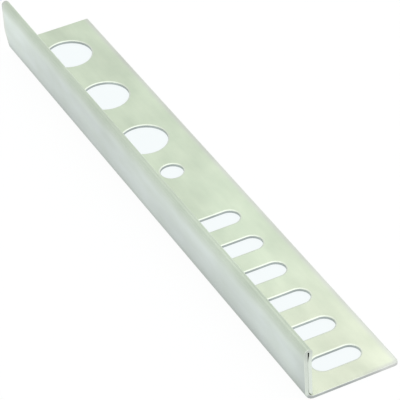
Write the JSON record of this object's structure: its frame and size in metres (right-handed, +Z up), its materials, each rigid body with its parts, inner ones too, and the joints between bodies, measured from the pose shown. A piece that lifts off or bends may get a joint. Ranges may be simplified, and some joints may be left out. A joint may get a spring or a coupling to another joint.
{
  "type": "stainless steel corner profile",
  "caption": "Stainless steel corner profile of folded sheet: a punched anchoring leg lies flat and a hemmed visible leg stands along its edge to finish and protect a tiled corner.",
  "frame": {"origin": "middle of the bounding box's underside: half way along the length and across the width, on the plane that the anchoring leg rests on", "axes": "+X along the length, from the end with the large round holes to the end with the slots; +Y across the anchoring leg, from the visible leg to the free edge; +Z up along the visible leg"},
  "size_m": [0.1412, 0.0208, 0.0125],
  "materials": {
    "satin_stainless_steel": "satin stainless steel with a fine grain along the length and a faint green cast"
  },
  "bodies": {
    "root": {"corner_profile": "satin_stainless_steel"}
  },
  "joints": []
}
